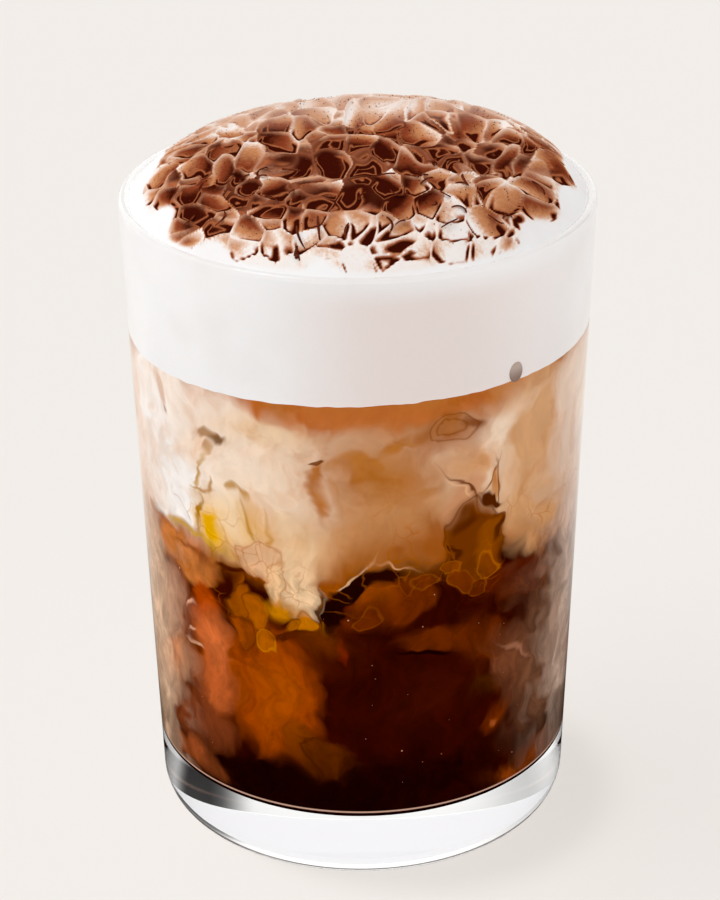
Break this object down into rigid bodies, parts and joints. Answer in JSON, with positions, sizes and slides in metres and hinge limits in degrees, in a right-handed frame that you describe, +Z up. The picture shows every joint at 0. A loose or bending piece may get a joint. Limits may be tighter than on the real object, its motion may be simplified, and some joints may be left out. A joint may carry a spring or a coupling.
{
  "type": "glass of cold brew coffee",
  "caption": "Clear tapered tumbler with a heavy base, filled with black coffee, marbled milky coffee and a domed cap of cream foam under cocoa.",
  "frame": {"origin": "middle of the foot, on the surface that the glass stands on", "axes": "+Z up through the glass, -Y to the front of the drink, +X to its right"},
  "size_m": [0.08, 0.08, 0.1242],
  "materials": {
    "clear_glass": "clear, polished",
    "black_coffee": "dark translucent liquid",
    "milk_marbling": "milk marbled into coffee",
    "foam": "soft cream foam",
    "cocoa": "dry cocoa and chocolate flakes"
  },
  "bodies": {
    "root": {"glass_tumbler": "clear_glass", "cold_brew": "black_coffee", "milky_coffee": "milk_marbling", "cream_foam": "foam"}
  },
  "joints": []
}
